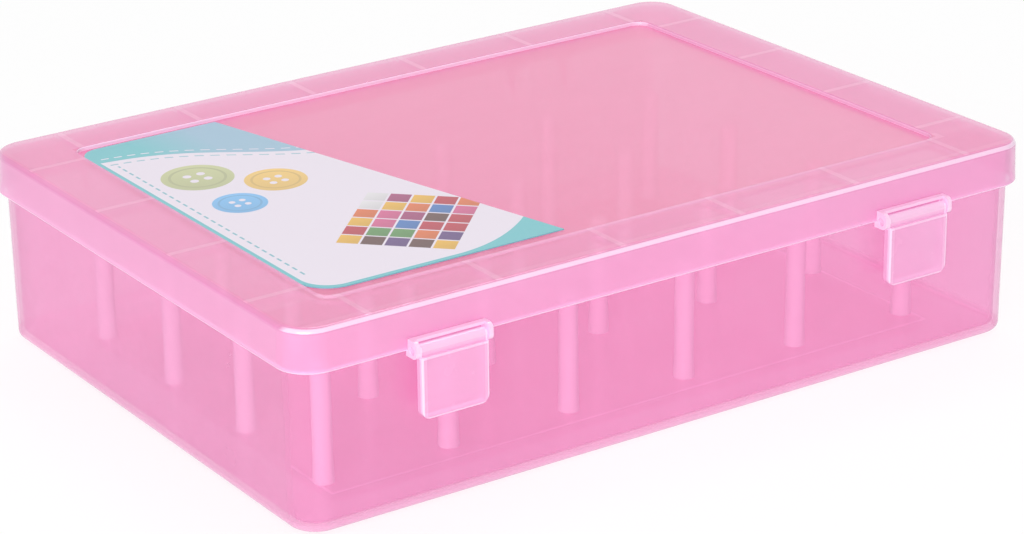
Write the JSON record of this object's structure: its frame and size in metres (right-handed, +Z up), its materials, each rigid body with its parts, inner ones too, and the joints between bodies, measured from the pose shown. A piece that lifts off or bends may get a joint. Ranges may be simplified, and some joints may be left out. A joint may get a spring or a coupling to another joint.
{
  "type": "thread box",
  "caption": "Low rectangular box of clear tinted plastic with upright spool spindles, a hinged overhanging lid and swing latches.",
  "frame": {"origin": "middle of the tray's foot, on the surface that the box stands on", "axes": "+X along the latch side towards the right latch, -Y towards the latches, +Z up"},
  "size_m": [0.2, 0.1518, 0.0484],
  "materials": {
    "pink_shell": "clear tinted polypropylene, slightly milky, gloss",
    "pink_spindle": "tinted polypropylene, thick enough to look milky, satin",
    "label_print": "printed film, satin",
    "pin_steel": "drawn wire"
  },
  "bodies": {
    "tray": {"tray": "pink_shell", "hinge_pin_left": "pin_steel", "hinge_pin_right": "pin_steel", "spindle_row1_column1": "pink_spindle", "spindle_row1_column2": "pink_spindle", "spindle_row1_column3": "pink_spindle", "spindle_row1_column4": "pink_spindle", "spindle_row1_column5": "pink_spindle", "spindle_row1_column6": "pink_spindle", "spindle_row2_column1": "pink_spindle", "spindle_row2_column2": "pink_spindle", "spindle_row2_column3": "pink_spindle", "spindle_row2_column4": "pink_spindle", "spindle_row2_column5": "pink_spindle", "spindle_row2_column6": "pink_spindle", "spindle_row3_column1": "pink_spindle", "spindle_row3_column2": "pink_spindle", "spindle_row3_column3": "pink_spindle", "spindle_row3_column4": "pink_spindle", "spindle_row3_column5": "pink_spindle", "spindle_row3_column6": "pink_spindle", "spindle_row4_column1": "pink_spindle", "spindle_row4_column2": "pink_spindle", "spindle_row4_column3": "pink_spindle", "spindle_row4_column4": "pink_spindle", "spindle_row4_column5": "pink_spindle", "spindle_row4_column6": "pink_spindle"},
    "lid": {"lid": "pink_shell", "label": "label_print"},
    "latch_left": {"latch_left": "pink_shell"},
    "latch_right": {"latch_right": "pink_shell"}
  },
  "joints": [
    {"name": "lid_hinge", "type": "hinge", "parent": "tray", "child": "lid", "pos_m": [0, 0.07435, 0.0394], "axis": [-1, 0, 0], "range_deg": [0, 180]},
    {"name": "latch_left_hinge", "type": "hinge", "parent": "lid", "child": "latch_left", "pos_m": [-0.0632, -0.0735, 0.0388], "axis": [-1, 0, 0], "range_deg": [0, 110]},
    {"name": "latch_right_hinge", "type": "hinge", "parent": "lid", "child": "latch_right", "pos_m": [0.0632, -0.0735, 0.0388], "axis": [-1, 0, 0], "range_deg": [0, 110]}
  ]
}
